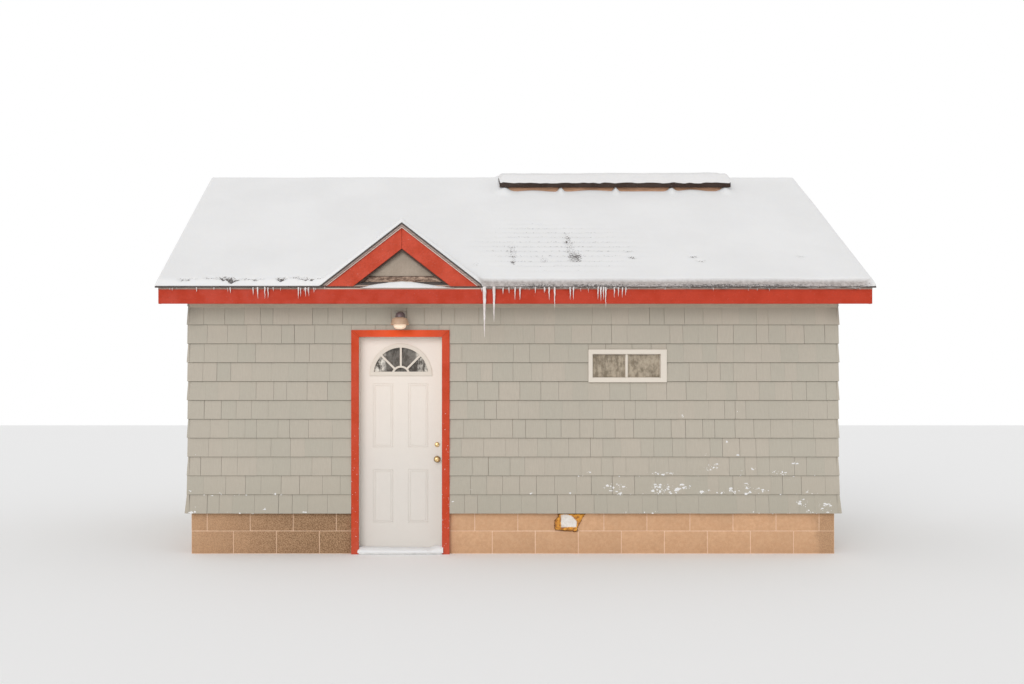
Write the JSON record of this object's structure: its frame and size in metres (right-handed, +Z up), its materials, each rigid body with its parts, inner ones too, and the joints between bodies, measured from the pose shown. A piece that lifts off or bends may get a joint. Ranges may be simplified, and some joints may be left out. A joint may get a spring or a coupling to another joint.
{
  "type": "outdoor sauna cabin",
  "caption": "Small gabled sauna cabin with lapped shingle walls on a block plinth, a false gable over a door that opens inward, a slot window, a ridge vent and an outside lamp.",
  "frame": {"origin": "centre of the plan at ground level, which is the bottom centre of the bounding box", "axes": "+Z up, the wall with the door faces -Y, +X to the right when looking at that wall"},
  "size_m": [6.584, 4.3988, 3.9686],
  "materials": {
    "block": "painted concrete block",
    "floor": "trowelled concrete",
    "foam": "cured foam",
    "frame_wood": "plain softwood",
    "wall_board": "board",
    "shingle": "stained cedar shingle",
    "sage_board": "painted board",
    "red_trim": "painted board",
    "weathered_board": "bare weathered board",
    "roof_covering": "mineral roof shingle",
    "vent_metal": "painted sheet",
    "door_paint": "smooth white enamel",
    "white_trim": "white plastic",
    "glazing": "clear",
    "brass": "polished",
    "steel": "brushed",
    "aluminium": "mill finish",
    "lamp_metal": "satin",
    "lamp_globe": "frosted and lit"
  },
  "bodies": {
    "cabin": {"floor_slab": "floor", "plinth_long_sides": "block", "plinth_ends": "block", "plinth_patch": "foam", "long_walls": "wall_board", "wall_over_door": "wall_board", "gable_walls": "wall_board", "cladding_long_sides": "shingle", "cladding_over_door": "shingle", "cladding_ends": "shingle", "rafters": "frame_wood", "ridge_board": "frame_wood", "ceiling_ties": "frame_wood", "roof_deck_front": "frame_wood", "roof_deck_back": "frame_wood", "roof_shingles_front": "roof_covering", "roof_shingles_back": "roof_covering", "ridge_caps": "roof_covering", "fascias": "red_trim", "rake_boards": "red_trim", "rake_soffits": "sage_board", "eave_soffits": "sage_board", "eave_returns": "sage_board", "friezes": "sage_board", "gable_shingles": "roof_covering", "gable_deck": "frame_wood", "gable_trim": "weathered_board", "gable_boards": "red_trim", "gable_panel": "sage_board", "gable_batten": "frame_wood", "vent_lid": "vent_metal", "vent_curb": "weathered_board", "door_frame": "door_paint", "door_casing": "red_trim", "threshold": "aluminium", "hinges_on_frame": "steel", "window_frame": "white_trim", "window_glass": "glazing", "lamp_bracket": "lamp_metal", "lamp_shade": "lamp_metal", "lamp_globe": "lamp_globe"},
    "door": {"door_leaf": "door_paint", "door_light_frames": "white_trim", "door_light_glass": "glazing", "lock_roses": "brass", "deadbolt": "brass", "hinges_on_door": "steel"},
    "knobs": {"door_knobs": "brass"}
  },
  "joints": [
    {"name": "door_swing", "type": "hinge", "parent": "cabin", "child": "door", "pos_m": [-1.475, -1.7183, 1], "axis": [0, 0, 1], "range_deg": [0, 100]},
    {"name": "knob_turn", "type": "hinge", "parent": "door", "child": "knobs", "pos_m": [-0.7195, -1.7468, 0.892], "axis": [0, 1, 0], "range_deg": [0, 60], "stiffness_Nm_per_rad": 0.3}
  ]
}
